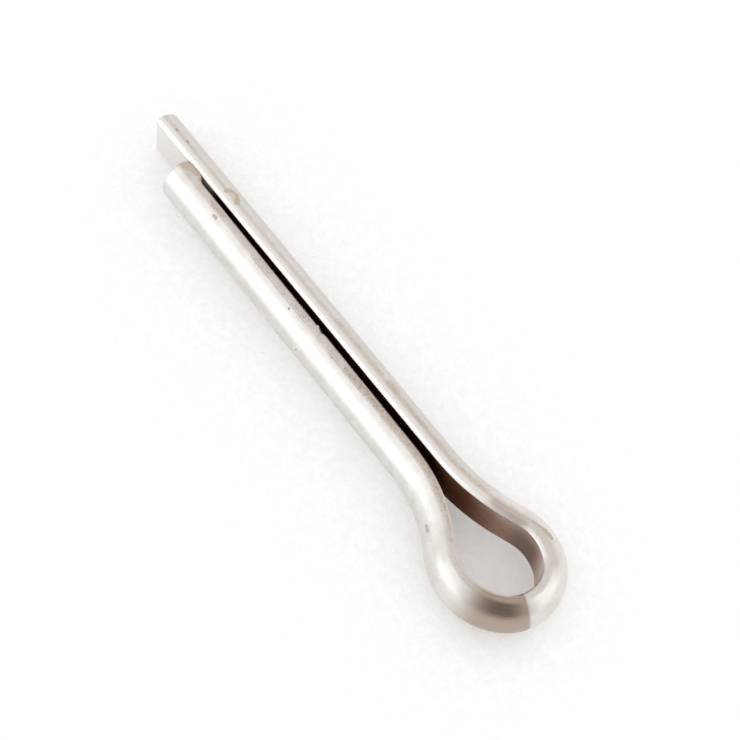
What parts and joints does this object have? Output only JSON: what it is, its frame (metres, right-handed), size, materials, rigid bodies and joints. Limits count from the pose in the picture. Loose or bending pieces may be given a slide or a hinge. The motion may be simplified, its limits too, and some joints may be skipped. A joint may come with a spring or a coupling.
{
  "type": "cotter pin",
  "caption": "Split cotter pin bent from one half-round wire, with an open eye, a straight shank of prongs laid flat to flat, and one prong longer than the other.",
  "frame": {"origin": "on the shank's axis, halfway up the wire, where the bend of the short prong's neck ends and the straight shank begins", "axes": "+X along the shank towards the prongs' ends, +Y towards the short prong, +Z across the wire's width, upwards as the pin lies on its side"},
  "size_m": [0.0284, 0.0057, 0.0028],
  "materials": {
    "plated_steel": "drawn wire with a dull bright plating, a few brown stains and small nicks"
  },
  "bodies": {
    "root": {"cotter_pin": "plated_steel"}
  },
  "joints": []
}
